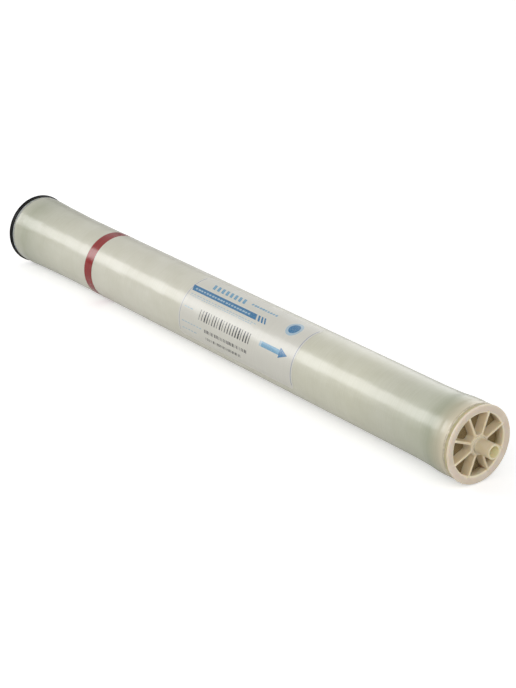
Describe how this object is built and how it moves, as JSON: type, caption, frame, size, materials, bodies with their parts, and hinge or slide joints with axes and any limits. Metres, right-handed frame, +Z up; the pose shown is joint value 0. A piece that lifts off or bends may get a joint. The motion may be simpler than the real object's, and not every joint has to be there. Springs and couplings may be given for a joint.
{
  "type": "reverse osmosis membrane element",
  "caption": "Spiral wound membrane cartridge with a central permeate tube, vaned end caps, a glass fibre wrap and a rubber brine seal at one end.",
  "frame": {"origin": "on the axis, half way between the two ends of the permeate tube", "axes": "+X along the axis in the direction of flow, from the end with the seal to the other; +Z up"},
  "size_m": [1.016, 0.1014, 0.1014],
  "materials": {
    "tube_plastic": "smooth moulded",
    "carrier_cloth": "fine woven",
    "winding_tape": "clear film",
    "glass_fibre_wrap": "glossy resin over wound glass fibre",
    "cap_plastic": "satin moulded",
    "seal_rubber": "glossy",
    "resin": "set by hand",
    "red_film": "glossy",
    "label_film": "glossy printed film",
    "membrane": "cut edges of wound layers"
  },
  "bodies": {
    "root": {"permeate_tube": "tube_plastic", "permeate_carrier_sleeve": "carrier_cloth", "winding_tape": "winding_tape", "fiberglass_wrap": "glass_fibre_wrap", "brine_end_cap": "cap_plastic", "feed_end_cap": "cap_plastic", "brine_seal": "seal_rubber", "brine_end_resin_bead": "resin", "feed_end_resin_bead": "resin", "brine_hub_adhesive": "resin", "feed_hub_adhesive": "resin", "red_band": "red_film", "label_film": "label_film", "membrane_leaf_1": "membrane", "membrane_leaf_2": "membrane", "membrane_leaf_3": "membrane", "membrane_leaf_4": "membrane"}
  },
  "joints": []
}
